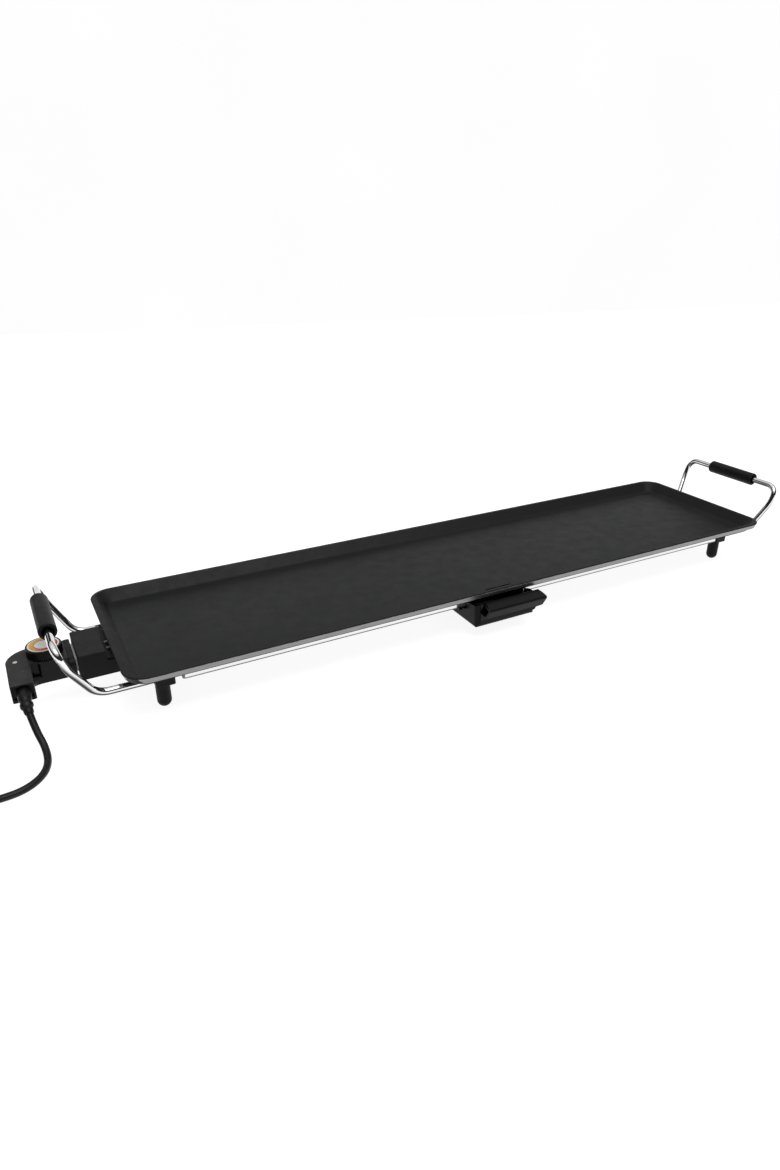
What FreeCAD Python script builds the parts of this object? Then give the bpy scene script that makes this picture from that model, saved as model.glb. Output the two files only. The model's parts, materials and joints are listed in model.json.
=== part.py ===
import FreeCAD, Part
import math
import os

os.makedirs("parts", exist_ok=True)

V = FreeCAD.Vector

# Electric griddle. Millimetres, +Z up, the feet stand on z = 0. Everything is drawn about the centre of the
# cooking plate, with the length along X and the front at -Y, and save() moves it so that the origin lies
# under the middle of the outer box of the griddle without its cord.

# --- driving dimensions ---------------------------------------------------------------------------------
PLATE_HALF_X = 450.0
PLATE_HALF_Y = 112.0
PLATE_CORNER = 24.0
RIM_TOP_Z = 65.4
RIM_BOTTOM_Z = 57.8
FLOOR_Z = 53.4
PLATE_BOTTOM_Z = 50.0
RIM_DRAFT = 2.5
RIM_ROUND = 1.3
ROUND_LOSS = 0.5
RIM_WIDTH = 5.0

ELEMENT_Z = 45.0
ELEMENT_R = 3.5
ELEMENT_HALF_Y = 45.0
TERMINAL_Y = 13.0
SEAT_GAP = 0.1

PAN_HALF_X = 390.5
PAN_REAR_Y = 80.0
PAN_FRONT_Y = -83.0
PAN_BOTTOM_Z = 36.0
PAN_ROUND = 3.0
SHEET = 0.8

FOOT_X = 409.0
FOOT_Y = 65.4
FOOT_R = 7.6
FOOT_BLOCK_Z = 30.0

WIRE_R = 4.0
WIRE_FOOT_Y = 70.5
WIRE_FOOT_Z = 37.0
GRIP_X = 504.5
GRIP_Z = 100.3
GRIP_R = 9.0
GRIP_Y0 = -40.0
GRIP_Y1 = 38.0

TRAY_HALF_X = 44.0
TRAY_WALL = 1.8
TRAY_REAR_Y = -20.0
TRAY_FLOOR_Z = 15.0
TRAY_NOSE_Y = -127.69

GUARD_X0 = -482.5
GUARD_X1 = -454.0
NOSE_X = -484.5
FLANGE_T = 6.0
HOUSING_BOTTOM_Z = 34.0
HOUSING_TOP_Z = 57.0
HOUSING_SPLIT_Z = 46.0
HOUSING_LEFT_X = -548.5
HOUSING_WALL = 2.0
KNOB_X = -510.3
KNOB_R = 17.8
KNOB_Z0 = 58.0
KNOB_Z1 = 68.0

PIN_R = 3.2
SLEEVE_BORE = 3.25
SLEEVE_R = 4.1
ROD_R = 2.4
ROD_TIP_X = -370.0

CORD_R = 3.5
COIL_X = -634.0
COIL_Y = -101.0
COIL_INNER_TURN = 32.0
COIL_OUTER_TURN = 44.5
COIL_BASE_Z = 1.0
COIL_LAYERS = 3
PLUG_R = 19.0
PLUG_PIN_R = 2.4
PLUG_PIN_SPACING = 19.0
PLUG_PIN_LENGTH = 19.0
PLUG_PIN_ROOT = 8.0
PLUG_ROOT_R = 1.8

ORIGIN_X = (HOUSING_LEFT_X + GRIP_X + GRIP_R) / 2
ORIGIN_Y = (TRAY_NOSE_Y + PLATE_HALF_Y) / 2


# --- helpers --------------------------------------------------------------------------------------------
def save(name, *solids):
    """Write one node, moved to the origin of the part."""
    moved = []
    for solid in solids:
        copy = solid.copy()
        copy.translate(V(-ORIGIN_X, -ORIGIN_Y, 0))
        moved += copy.Solids
    shape = moved[0] if len(moved) == 1 else Part.makeCompound(moved)
    shape.exportStep("parts/" + name + ".step")


def block(x0, x1, y0, y1, z0, z1):
    return Part.makeBox(x1 - x0, y1 - y0, z1 - z0, V(x0, y0, z0))


def rod(x, y, z, radius, length, axis=V(0, 0, 1)):
    return Part.makeCylinder(radius, length, V(x, y, z), axis)


def rounded_rect(x0, x1, y0, y1, radius, z):
    """Closed wire of a rectangle with round corners at height z."""
    edges = []
    corners = [(x1 - radius, y1 - radius, 0), (x0 + radius, y1 - radius, 90),
               (x0 + radius, y0 + radius, 180), (x1 - radius, y0 + radius, 270)]
    previous_end = None
    first_start = None
    for cx, cy, start in corners:
        points = []
        for turn in (0, 45, 90):
            angle = math.radians(start + turn)
            points.append(V(cx + radius * math.cos(angle), cy + radius * math.sin(angle), z))
        if previous_end is not None:
            edges.append(Part.LineSegment(previous_end, points[0]).toShape())
        else:
            first_start = points[0]
        edges.append(Part.Arc(*points).toShape())
        previous_end = points[2]
    edges.append(Part.LineSegment(previous_end, first_start).toShape())
    return Part.Wire(edges)


def tapered_block(half0, z0, half1, z1):
    """Solid between two rounded rectangles given as (half x, half y, corner radius)."""
    wires = [rounded_rect(-hx, hx, -hy, hy, r, z) for (hx, hy, r), z in ((half0, z0), (half1, z1))]
    return Part.makeLoft(wires, True, True)


def rounded_path(points, radii):
    """Straight runs joined by tangent arcs; one radius for each inner point."""
    edges = []
    start = points[0]
    for index, radius in enumerate(radii, start=1):
        corner = points[index]
        into = (corner - points[index - 1]).normalize()
        out = (points[index + 1] - corner).normalize()
        half_turn = into.getAngle(out) / 2
        reach = radius * math.tan(half_turn)
        arc_start = corner - into * reach
        arc_end = corner + out * reach
        bisector = (out - into).normalize()
        middle = corner + bisector * (radius / math.cos(half_turn) - radius)
        if (arc_start - start).Length > 1e-6:
            edges.append(Part.LineSegment(start, arc_start).toShape())
        edges.append(Part.Arc(arc_start, middle, arc_end).toShape())
        start = arc_end
    edges.append(Part.LineSegment(start, points[-1]).toShape())
    return Part.Wire(edges)


def tube_along(path, radius, start, direction):
    ring = Part.Wire(Part.makeCircle(radius, start, direction))
    return path.makePipeShell([ring], True, True)


def prism_yz(points, x0, x1):
    """Polygon in the YZ plane drawn along X."""
    corners = [V(x0, y, z) for y, z in points]
    face = Part.Face(Part.makePolygon(corners + corners[:1]))
    return face.extrude(V(x1 - x0, 0, 0))


def rounded_prism_yz(corners, x0, x1):
    """Outline in the YZ plane drawn along X; each corner is (y, z, radius)."""
    points = [V(x0, y, z) for y, z, _ in corners]
    seam = (points[-1] + points[0]) * 0.5
    wire = rounded_path([seam] + points + [seam], [radius for _, _, radius in corners])
    return Part.Face(wire).extrude(V(x1 - x0, 0, 0))


def bar_along_y(x0, x1, z0, z1, radius, y0, y1):
    """Bar along Y whose front view is a rectangle with round corners."""
    bar = Part.Face(rounded_rect(x0, x1, z0, z1, radius, 0.0)).extrude(V(0, 0, y1 - y0))
    bar.rotate(V(0, 0, 0), V(1, 0, 0), 90)
    bar.translate(V(0, y1, 0))
    return bar


def fillet_where(shape, radius, keep):
    return shape.makeFillet(radius, [edge for edge in shape.Edges if keep(edge)])


def edges_at_z(z):
    def keep(edge):
        box = edge.BoundBox
        return abs(box.ZMin - z) < 1e-4 and abs(box.ZMax - z) < 1e-4
    return keep


def upright(edge):
    box = edge.BoundBox
    return box.ZLength > 1e-3 and box.XLength < 1e-6 and box.YLength < 1e-6


def screw(x, y, z_head, z_tip, radius, head_radius, head_height, up=True):
    """Pan-head screw along Z; the head is below when the screw points up."""
    if up:
        shank = rod(x, y, z_head, radius, z_tip - z_head)
        head = rod(x, y, z_head - head_height, head_radius, head_height)
    else:
        shank = rod(x, y, z_tip, radius, z_head - z_tip)
        head = rod(x, y, z_head, head_radius, head_height)
    return shank.fuse(head).removeSplitter()


# --- cooking plate --------------------------------------------------------------------------------------
BODY_FOOT = (436.0, 98.0, 12.0)
BODY_TOP = (441.0, 103.0, 15.0)
BASIN_FLOOR = (433.0, 95.0, 11.0)
BASIN_ROUND = 3.0
BOSS_R = 4.5
SCREW_R = 1.6
SCREW_HEAD_R = 3.2
CLAMP_BAR = 1.2
CLAMP_X = (-300.0, -100.0, 100.0, 300.0)
CLAMP_BOSS_Y = (ELEMENT_HALF_Y - 10.0, ELEMENT_HALF_Y + 10.0)
CLAMP_Z = ELEMENT_Z - ELEMENT_R - 0.2
PAN_BOSS_X = (-350.0, 0.0, 350.0)
PAN_BOSS_Y = 70.0
SEAT_Z = ELEMENT_Z + ELEMENT_R + SEAT_GAP
SCREW_DEPTH_Z = PLATE_BOTTOM_Z + 2.0
FOOT_SCREW_X = FOOT_X - 7.5
FOOT_SCREW_Y = FOOT_Y - 8.4
FOOT_SCREW_R = 2.0
BRACKET_SCREW_X = -428.0
BRACKET_SCREW_Y = 20.5
SLOT_Y = -88.0
SLOT_HALF_X = 20.0
SLOT_HALF_Y = 3.0


def clamp_boss_places():
    return [(x, side * y) for x in CLAMP_X for side in (-1, 1) for y in CLAMP_BOSS_Y]


def pan_boss_places():
    return [(x, side * PAN_BOSS_Y) for x in PAN_BOSS_X for side in (-1, 1)]


def make_griddle_plate():
    body = tapered_block(BODY_FOOT, PLATE_BOTTOM_Z, BODY_TOP, RIM_BOTTOM_Z)
    rim_foot = (PLATE_HALF_X - RIM_DRAFT, PLATE_HALF_Y - RIM_DRAFT, PLATE_CORNER - RIM_DRAFT)
    rim_edge = (PLATE_HALF_X + ROUND_LOSS, PLATE_HALF_Y + ROUND_LOSS, PLATE_CORNER + ROUND_LOSS)
    rim = tapered_block(rim_foot, RIM_BOTTOM_Z, rim_edge, RIM_TOP_Z)
    rim = fillet_where(rim, RIM_ROUND, edges_at_z(RIM_TOP_Z))
    mouth = (PLATE_HALF_X - RIM_WIDTH, PLATE_HALF_Y - RIM_WIDTH, PLATE_CORNER - RIM_WIDTH)
    basin = tapered_block(BASIN_FLOOR, FLOOR_Z, mouth, RIM_TOP_Z)
    basin = fillet_where(basin, BASIN_ROUND, edges_at_z(FLOOR_Z))
    plate = body.fuse(rim).cut(basin)
    for side in (-1, 1):
        y = side * ELEMENT_HALF_Y
        plate = plate.fuse(block(-340.0, 330.0, y - 3.0, y + 3.0, SEAT_Z, PLATE_BOTTOM_Z))
    for x, y in clamp_boss_places():
        plate = plate.fuse(rod(x, y, CLAMP_Z, BOSS_R, PLATE_BOTTOM_Z - CLAMP_Z))
        plate = plate.cut(rod(x, y, CLAMP_Z, SCREW_R, 8.0))
    pan_floor = PAN_BOTTOM_Z + SHEET
    for x, y in pan_boss_places():
        plate = plate.fuse(rod(x, y, pan_floor, BOSS_R, PLATE_BOTTOM_Z - pan_floor))
        plate = plate.cut(rod(x, y, pan_floor, SCREW_R, 10.0))
    slot_x = SLOT_HALF_X - SLOT_HALF_Y
    for piece in (rod(-slot_x, SLOT_Y, PLATE_BOTTOM_Z, SLOT_HALF_Y, 4.0),
                  rod(slot_x, SLOT_Y, PLATE_BOTTOM_Z, SLOT_HALF_Y, 4.0),
                  block(-slot_x, slot_x, SLOT_Y - SLOT_HALF_Y, SLOT_Y + SLOT_HALF_Y,
                        PLATE_BOTTOM_Z, PLATE_BOTTOM_Z + 4.0)):
        plate = plate.cut(piece)
    for sx, sy in ((-1, -1), (-1, 1), (1, -1), (1, 1)):
        hole = rod(sx * FOOT_SCREW_X, sy * FOOT_SCREW_Y, PLATE_BOTTOM_Z, FOOT_SCREW_R, 2.0)
        plate = plate.cut(hole)
    for sy in (-1, 1):
        plate = plate.cut(rod(BRACKET_SCREW_X, sy * BRACKET_SCREW_Y, PLATE_BOTTOM_Z, 1.5, 2.0))
    save("griddle_plate", plate)


# --- heating element and its clamps -----------------------------------------------------------------------
ELEMENT_END_X = -440.0
ELEMENT_TURN_X = 330.0
PIN_TIP_X = -478.0
PIN_NECK_R = 2.2
BUSH_LENGTH = 6.0


def make_heating_element():
    y = ELEMENT_HALF_Y
    points = [V(ELEMENT_END_X, TERMINAL_Y, ELEMENT_Z), V(-385.0, TERMINAL_Y, ELEMENT_Z),
              V(-350.0, y, ELEMENT_Z), V(ELEMENT_TURN_X + y, y, ELEMENT_Z),
              V(ELEMENT_TURN_X + y, -y, ELEMENT_Z), V(-350.0, -y, ELEMENT_Z),
              V(-385.0, -TERMINAL_Y, ELEMENT_Z), V(ELEMENT_END_X, -TERMINAL_Y, ELEMENT_Z)]
    path = rounded_path(points, [20.0, 20.0, y - 0.5, y - 0.5, 20.0, 20.0])
    save("heating_element", tube_along(path, ELEMENT_R, points[0], V(1, 0, 0)))


def make_element_clamps():
    bars = []
    for x in CLAMP_X:
        for side in (-1, 1):
            y0, y1 = sorted((side * (CLAMP_BOSS_Y[0] - 6.0), side * (CLAMP_BOSS_Y[1] + 6.0)))
            bar = block(x - 6.0, x + 6.0, y0, y1, CLAMP_Z - CLAMP_BAR, CLAMP_Z)
            for y in CLAMP_BOSS_Y:
                bar = bar.cut(rod(x, side * y, CLAMP_Z - CLAMP_BAR, SCREW_R, CLAMP_BAR))
            bars.append(fillet_where(bar, 2.0, upright))
    save("element_clamps", *bars)
    z_head = CLAMP_Z - CLAMP_BAR
    screws = [screw(x, y, z_head, CLAMP_Z + 7.0, SCREW_R, SCREW_HEAD_R, 2.0) for x, y in clamp_boss_places()]
    save("clamp_screws", *screws)


def make_terminals():
    pins = []
    insulators = []
    for side in (-1, 1):
        y = side * TERMINAL_Y
        neck_x = ELEMENT_END_X - BUSH_LENGTH
        pin = rod(PIN_TIP_X, y, ELEMENT_Z, PIN_R, neck_x - PIN_TIP_X, V(1, 0, 0))
        tip = [edge for edge in pin.Edges if edge.BoundBox.XMax < PIN_TIP_X + 0.01]
        neck = rod(neck_x, y, ELEMENT_Z, PIN_NECK_R, BUSH_LENGTH, V(1, 0, 0))
        pins.append(pin.makeFillet(1.6, tip).fuse(neck).removeSplitter())
        bush = rod(neck_x, y, ELEMENT_Z, ELEMENT_R, BUSH_LENGTH, V(1, 0, 0))
        insulators.append(bush.cut(rod(neck_x, y, ELEMENT_Z, PIN_NECK_R, BUSH_LENGTH, V(1, 0, 0))))
    save("terminal_pins", *pins)
    save("terminal_insulators", *insulators)


# --- socket of the plug-in control ------------------------------------------------------------------------
BOARD_X0 = -436.5
BOARD_X1 = -435.0
TUBE_X0 = -437.0
TUBE_X1 = -362.0
TUBE_BORE = 2.8
TUBE_END_T = 2.0
PASSAGE_Y = 20.0
PASSAGE_Z0 = 36.0
PASSAGE_Z1 = 54.0
GUARD_BOTTOM_Z = 32.0
GUARD_TOP_Z = 60.0
GUARD_HALF_Y = 30.0
BRACKET_FRONT_Y = -28.0
GUARD_FOOT_X = -437.0
BRACKET_Z0 = 48.6
BRACKET_X1 = -420.0
BRACKET_REAR_Y = 46.0
GUARD_SCREW_X = -445.0
GUARD_SCREW_Y = 24.0
TAB_SCREW_X = -449.0
TAB_SCREW_Y = 7.0


def make_sensor_guide_tube():
    length = TUBE_X1 - TUBE_X0
    tube = rod(TUBE_X0, 0, ELEMENT_Z, ELEMENT_R, length, V(1, 0, 0))
    bore = rod(TUBE_X0, 0, ELEMENT_Z, TUBE_BORE, length - TUBE_END_T, V(1, 0, 0))
    save("sensor_guide_tube", tube.cut(bore))


def make_terminal_board():
    board = block(BOARD_X0, BOARD_X1, -24.0, 24.0, PASSAGE_Z0 + 0.8, BRACKET_Z0)
    for y in (-TERMINAL_Y, 0.0, TERMINAL_Y):
        board = board.cut(rod(BOARD_X0, y, ELEMENT_Z, ELEMENT_R + 0.05, BOARD_X1 - BOARD_X0, V(1, 0, 0)))
    for side in (-1, 1):
        y0, y1 = sorted((side * 4.6, side * 9.4))
        board = board.fuse(block(-453.0, BOARD_X0, y0, y1, BRACKET_Z0 - 1.2, BRACKET_Z0))
        board = board.cut(rod(TAB_SCREW_X, side * TAB_SCREW_Y, BRACKET_Z0 - 1.2, 1.2, 1.2))
    save("terminal_board", board.removeSplitter())
    save("earth_tab", block(-476.0, BOARD_X0, -5.0, 5.0, PASSAGE_Z0 + 0.1, PASSAGE_Z0 + 0.7))


def make_socket_guard():
    head = block(GUARD_X0, GUARD_X1, -GUARD_HALF_Y, GUARD_HALF_Y, GUARD_BOTTOM_Z, GUARD_TOP_Z)
    foot = block(GUARD_X1, GUARD_FOOT_X, -GUARD_HALF_Y, GUARD_HALF_Y, GUARD_BOTTOM_Z, BRACKET_Z0)
    guard = head.fuse(foot).removeSplitter()
    guard = fillet_where(guard, 2.0, lambda edge: upright(edge) and edge.BoundBox.XMax < GUARD_X0 + 0.01)
    guard = fillet_where(guard, 1.0, edges_at_z(GUARD_TOP_Z))
    guard = guard.cut(block(GUARD_X0, GUARD_X1, -PASSAGE_Y, PASSAGE_Y, PASSAGE_Z0, PASSAGE_Z1))
    guard = guard.cut(block(GUARD_X1, GUARD_FOOT_X, -PASSAGE_Y, PASSAGE_Y, PASSAGE_Z0, BRACKET_Z0))
    for side in (-1, 1):
        y = side * GUARD_SCREW_Y
        guard = guard.cut(rod(GUARD_SCREW_X, y, GUARD_BOTTOM_Z, 1.5, BRACKET_Z0 - GUARD_BOTTOM_Z))
        guard = guard.cut(rod(GUARD_SCREW_X, y, GUARD_BOTTOM_Z, 3.0, 2.5))
    save("socket_guard", guard.removeSplitter())


def make_guard_bracket():
    bracket = block(GUARD_X1 + 0.1, BRACKET_X1, BRACKET_FRONT_Y, BRACKET_REAR_Y, BRACKET_Z0, PLATE_BOTTOM_Z)
    bracket = fillet_where(bracket, 2.0, upright)
    tab_screws = []
    lower_screws = []
    for side in (-1, 1):
        bracket = bracket.cut(rod(TAB_SCREW_X, side * TAB_SCREW_Y, BRACKET_Z0, 1.2, 2.0))
        bracket = bracket.cut(rod(GUARD_SCREW_X, side * GUARD_SCREW_Y, BRACKET_Z0, 1.5, 2.0))
        bracket = bracket.cut(rod(BRACKET_SCREW_X, side * BRACKET_SCREW_Y, BRACKET_Z0, 1.5, 2.0))
        tab_screws.append(screw(TAB_SCREW_X, side * TAB_SCREW_Y, PLATE_BOTTOM_Z, BRACKET_Z0 - 1.2,
                                1.2, 2.3, 1.5, up=False))
        lower_screws.append(screw(GUARD_SCREW_X, side * GUARD_SCREW_Y, GUARD_BOTTOM_Z + 2.5,
                                  PLATE_BOTTOM_Z, 1.5, 2.8, 2.0))
        lower_screws.append(screw(BRACKET_SCREW_X, side * BRACKET_SCREW_Y, BRACKET_Z0,
                                  SCREW_DEPTH_Z, 1.5, 2.8, 2.0))
    save("guard_bracket", bracket)
    save("guard_screws", *tab_screws, *lower_screws)


# --- reflector pan and drip tray rails ----------------------------------------------------------------------
RAIL_Y0 = -79.0
RAIL_Y1 = -16.0
RAIL_SHEET = 1.2
RAIL_WEB_X = TRAY_HALF_X + 6.0
RAIL_LIP_X = TRAY_HALF_X + 1.5
RAIL_LIP_Z = 30.0


def pan_block(inset, z0, z1):
    """The pan's outline, moved inwards by inset."""
    x = PAN_HALF_X - inset
    solid = block(-x, x, PAN_FRONT_Y + inset, PAN_REAR_Y - inset, z0, z1)
    return fillet_where(solid, PAN_ROUND - inset, upright)


def make_reflector_pan():
    top_z = PLATE_BOTTOM_Z - SEAT_GAP
    pan = pan_block(0.0, PAN_BOTTOM_Z, top_z).cut(pan_block(SHEET, PAN_BOTTOM_Z + SHEET, top_z))
    mouth = block(-PAN_HALF_X, -PAN_HALF_X + SHEET, -22.0, 22.0, PAN_BOTTOM_Z + 3.0, top_z)
    pan = pan.cut(mouth)
    screws = []
    for x, y in pan_boss_places():
        pan = pan.cut(rod(x, y, PAN_BOTTOM_Z, SCREW_R, SHEET))
        screws.append(screw(x, y, PAN_BOTTOM_Z, PAN_BOTTOM_Z + 9.0, SCREW_R, SCREW_HEAD_R, 1.8))
    save("reflector_pan", pan)
    save("pan_screws", *screws)


def make_tray_rails():
    for name, side in (("tray_rail_left", -1), ("tray_rail_right", 1)):
        def bar(x0, x1, y0, y1, z0, z1):
            low, high = sorted((side * x0, side * x1))
            return block(low, high, y0, y1, z0, z1)
        web_end = RAIL_WEB_X + RAIL_SHEET
        rail = bar(RAIL_WEB_X, web_end, RAIL_Y0, RAIL_Y1, RAIL_LIP_Z, PAN_BOTTOM_Z)
        rail = rail.fuse(bar(RAIL_LIP_X, web_end, RAIL_Y0, RAIL_Y1, RAIL_LIP_Z, RAIL_LIP_Z + RAIL_SHEET))
        top_z = PAN_BOTTOM_Z - RAIL_SHEET
        rail = rail.fuse(bar(RAIL_WEB_X, web_end + 8.0, RAIL_Y0, RAIL_Y1, top_z, PAN_BOTTOM_Z))
        rail = rail.fuse(bar(RAIL_LIP_X, web_end, RAIL_Y1 - RAIL_SHEET, RAIL_Y1, RAIL_LIP_Z, PAN_BOTTOM_Z))
        save(name, rail.removeSplitter())


FLANGE_Z = 31.4
TRAY_EDGE_Z = 33.2
TRAY_STEP_Y = -84.2
TRAY_FLOOR_TOP = TRAY_FLOOR_Z + TRAY_WALL
TRAY_BACK_INSIDE = TRAY_REAR_Y - TRAY_WALL
# Side views as (y, z, corner radius).
TRAY_OUTSIDE = [(TRAY_REAR_Y, TRAY_FLOOR_Z, 2.0), (TRAY_REAR_Y, 60.0, 1.0), (TRAY_STEP_Y, 60.0, 1.0),
                (TRAY_STEP_Y, 41.5, 1.0), (-94.0, 44.5, 3.0), (-104.0, 44.5, 3.0), (-113.5, 53.2, 2.2),
                (-129.0, 48.3, 2.6), (-120.5, 34.0, 2.0), (-108.5, 25.5, 3.0), (-106.5, TRAY_FLOOR_Z, 8.0)]
TRAY_INSIDE = [(TRAY_BACK_INSIDE, TRAY_FLOOR_TOP, 2.0), (TRAY_BACK_INSIDE, 62.0, 1.0), (-95.0, 62.0, 1.0),
               (-106.5, 44.0, 2.0), (-102.0, 34.5, 2.0), (-106.0, 29.5, 2.0), (-103.5, TRAY_FLOOR_TOP, 6.0)]
BEAK_HOLLOW = [(-106.8, 36.5, 2.0), (-113.4, 50.4, 1.0), (-125.3, 46.6, 1.4), (-118.5, 36.0, 2.0)]
BEAK_ROOT_Y = -107.8
BEAK_LEFT_X = -39.5
BEAK_TOP_Z = 53.4
BEAK_ROUND = 6.0
TRAY_ROUND = 5.0
TRAY_CORNER = 7.0


def upright_bar(half_x, front_y, radius):
    """Block about X = 0 with round upright edges in front; its rear lies behind the tray."""
    return Part.Face(rounded_rect(-half_x, half_x, front_y, 40.0, radius, 0.0)).extrude(V(0, 0, 80.0))


def make_drip_tray():
    inner_x = TRAY_HALF_X - TRAY_WALL
    full = rounded_prism_yz(TRAY_OUTSIDE, -TRAY_HALF_X, TRAY_HALF_X)
    ahead = bar_along_y(BEAK_LEFT_X, TRAY_HALF_X, 20.0, BEAK_TOP_Z, BEAK_ROUND, -140.0, BEAK_ROOT_Y)
    behind = bar_along_y(-TRAY_HALF_X, TRAY_HALF_X, TRAY_FLOOR_Z, 75.0, TRAY_ROUND, BEAK_ROOT_Y, 0.0)
    behind = behind.common(upright_bar(TRAY_HALF_X, BEAK_ROOT_Y, TRAY_CORNER))
    room = rounded_prism_yz(TRAY_INSIDE, -inner_x, inner_x)
    room = room.common(upright_bar(inner_x, BEAK_ROOT_Y + TRAY_WALL, TRAY_CORNER - TRAY_WALL))
    inner_round = TRAY_ROUND - TRAY_WALL
    room = room.common(bar_along_y(-inner_x, inner_x, TRAY_FLOOR_TOP, 75.0, inner_round, -130.0, 0.0))
    tray = full.common(ahead).fuse(full.common(behind)).cut(room)
    tray = tray.cut(rounded_prism_yz(BEAK_HOLLOW, -TRAY_HALF_X, TRAY_HALF_X))
    tray = tray.cut(block(-TRAY_HALF_X, TRAY_HALF_X, TRAY_STEP_Y, TRAY_REAR_Y, TRAY_EDGE_Z, 60.0))
    for side in (-1, 1):
        low, high = sorted((side * TRAY_HALF_X, side * (TRAY_HALF_X + 5.0)))
        tray = tray.fuse(block(low, high, -78.0, TRAY_REAR_Y, FLANGE_Z, TRAY_EDGE_Z))
    tray = tray.removeSplitter()
    print("front of the drip tray", round(tray.BoundBox.YMin, 4))
    save("drip_tray", tray)


# --- feet and handles ---------------------------------------------------------------------------------------
HANDLE_ROUTE = [(400.0, 70.5, 37.0), (473.0, 70.5, 37.0), (497.0, 82.0, 78.0), (504.5, 80.0, 100.3)]
HANDLE_BENDS = [21.0, 60.0, 14.0]


def make_feet():
    screws = []
    names = {(-1, -1): "foot_front_left", (1, -1): "foot_front_right",
             (-1, 1): "foot_rear_left", (1, 1): "foot_rear_right"}
    for (sx, sy), name in names.items():
        x = sx * FOOT_X
        y = sy * FOOT_Y
        x0, x1 = sorted((x - sx * 12.0, x + sx * 8.5))
        top = block(x0, x1, y - 13.0, y + 13.0, FOOT_BLOCK_Z, PLATE_BOTTOM_Z)
        top = fillet_where(top, 2.5, upright)
        leg = rod(x, y, FOOT_R, FOOT_R, FOOT_BLOCK_Z - FOOT_R).fuse(Part.makeSphere(FOOT_R, V(x, y, FOOT_R)))
        foot = top.fuse(leg)
        wire_x = sx * HANDLE_ROUTE[0][0]
        foot = foot.cut(rod(wire_x, sy * WIRE_FOOT_Y, WIRE_FOOT_Z, WIRE_R + 0.05, 30.0, V(sx, 0, 0)))
        sx_screw = sx * FOOT_SCREW_X
        sy_screw = sy * FOOT_SCREW_Y
        foot = foot.cut(rod(sx_screw, sy_screw, FOOT_BLOCK_Z, FOOT_SCREW_R, 20.0))
        foot = foot.cut(rod(sx_screw, sy_screw, FOOT_BLOCK_Z, 3.4, 3.0))
        save(name, foot.removeSplitter())
        screws.append(screw(sx_screw, sy_screw, FOOT_BLOCK_Z + 3.0, SCREW_DEPTH_Z, FOOT_SCREW_R, 3.3, 2.5))
    save("foot_screws", *screws)


def make_handles():
    for side, word in ((-1, "left"), (1, "right")):
        near = [V(side * x, y, z) for x, y, z in HANDLE_ROUTE]
        far = [V(point.x, -point.y, point.z) for point in reversed(near)]
        path = rounded_path(near + far, HANDLE_BENDS + HANDLE_BENDS[::-1])
        save("handle_wire_" + word, tube_along(path, WIRE_R, near[0], V(side, 0, 0)))
        length = GRIP_Y1 - GRIP_Y0
        grip = rod(side * GRIP_X, GRIP_Y0, GRIP_Z, GRIP_R, length, V(0, 1, 0))
        grip = grip.makeFillet(1.5, [edge for edge in grip.Edges if isinstance(edge.Curve, Part.Circle)])
        grip = grip.cut(rod(side * GRIP_X, GRIP_Y0, GRIP_Z, WIRE_R + 0.05, length, V(0, 1, 0)))
        mouths = (Part.makeCone(6.5, WIRE_R, 4.0, V(side * GRIP_X, GRIP_Y0, GRIP_Z), V(0, 1, 0)),
                  Part.makeCone(6.5, WIRE_R, 4.0, V(side * GRIP_X, GRIP_Y1, GRIP_Z), V(0, -1, 0)))
        for mouth in mouths:
            grip = grip.cut(mouth)
        save("grip_" + word, grip)


# --- plug-in control ------------------------------------------------------------------------------------------
HOUSING_FRONT_X = NOSE_X - FLANGE_T
LEG_END_Y = -53.0
LEG_INNER_X = -526.5
LEG_BOTTOM_Z = 38.0
CORNER_R = 10.0
CORNER_TOP_Z = 40.5
EXIT_Y = LEG_END_Y + 3.0
SPINDLE_R = 3.0
SPINDLE_FIT = 0.06
DIAL_R = KNOB_R - 1.8
DIAL_DEPTH = 0.6
LAMP_X = -539.5
LAMP_Y = -5.0
HOUSING_POSTS = [(-537.0, 6.5, HOUSING_BOTTOM_Z), (-537.5, -30.0, LEG_BOTTOM_Z)]
POST_R = 2.6
POST_BORE = 1.2
INSULATOR_Y = 17.8
INSULATOR_Z0 = 38.0
INSULATOR_Z1 = 52.0
INSULATOR_X0 = -494.0
INSULATOR_X1 = -456.0


def housing_outline(shrink=0.0):
    """Outline of the control's housing seen from above, moved inwards by shrink."""
    back = V(-524.0, 20, 0)
    shoulder = V(-541.8, 11.5, 0)
    side = V(HOUSING_LEFT_X, -9, 0)
    straight = [back, V(HOUSING_FRONT_X, 20, 0), V(HOUSING_FRONT_X, -20, 0), V(-518.7, -20, 0),
                V(-519.7, -15, 0), V(LEG_INNER_X, -15, 0), V(LEG_INNER_X, LEG_END_Y, 0),
                V(HOUSING_LEFT_X, LEG_END_Y, 0), side]
    edges = [Part.LineSegment(p, q).toShape() for p, q in zip(straight, straight[1:])]
    edges.append(Part.Arc(side, shoulder, back).toShape())
    face = Part.Face(Part.Wire(edges))
    if shrink:
        face = face.makeOffset2D(-shrink, 2)
    return face


def housing_solid(shrink, z0, z1):
    face = housing_outline(shrink)
    face.translate(V(0, 0, z0))
    return face.extrude(V(0, 0, z1 - z0))


def housing_front_corner(edge):
    box = edge.BoundBox
    return upright(edge) and box.XMin < -516.0 and box.YMin < -16.0


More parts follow.
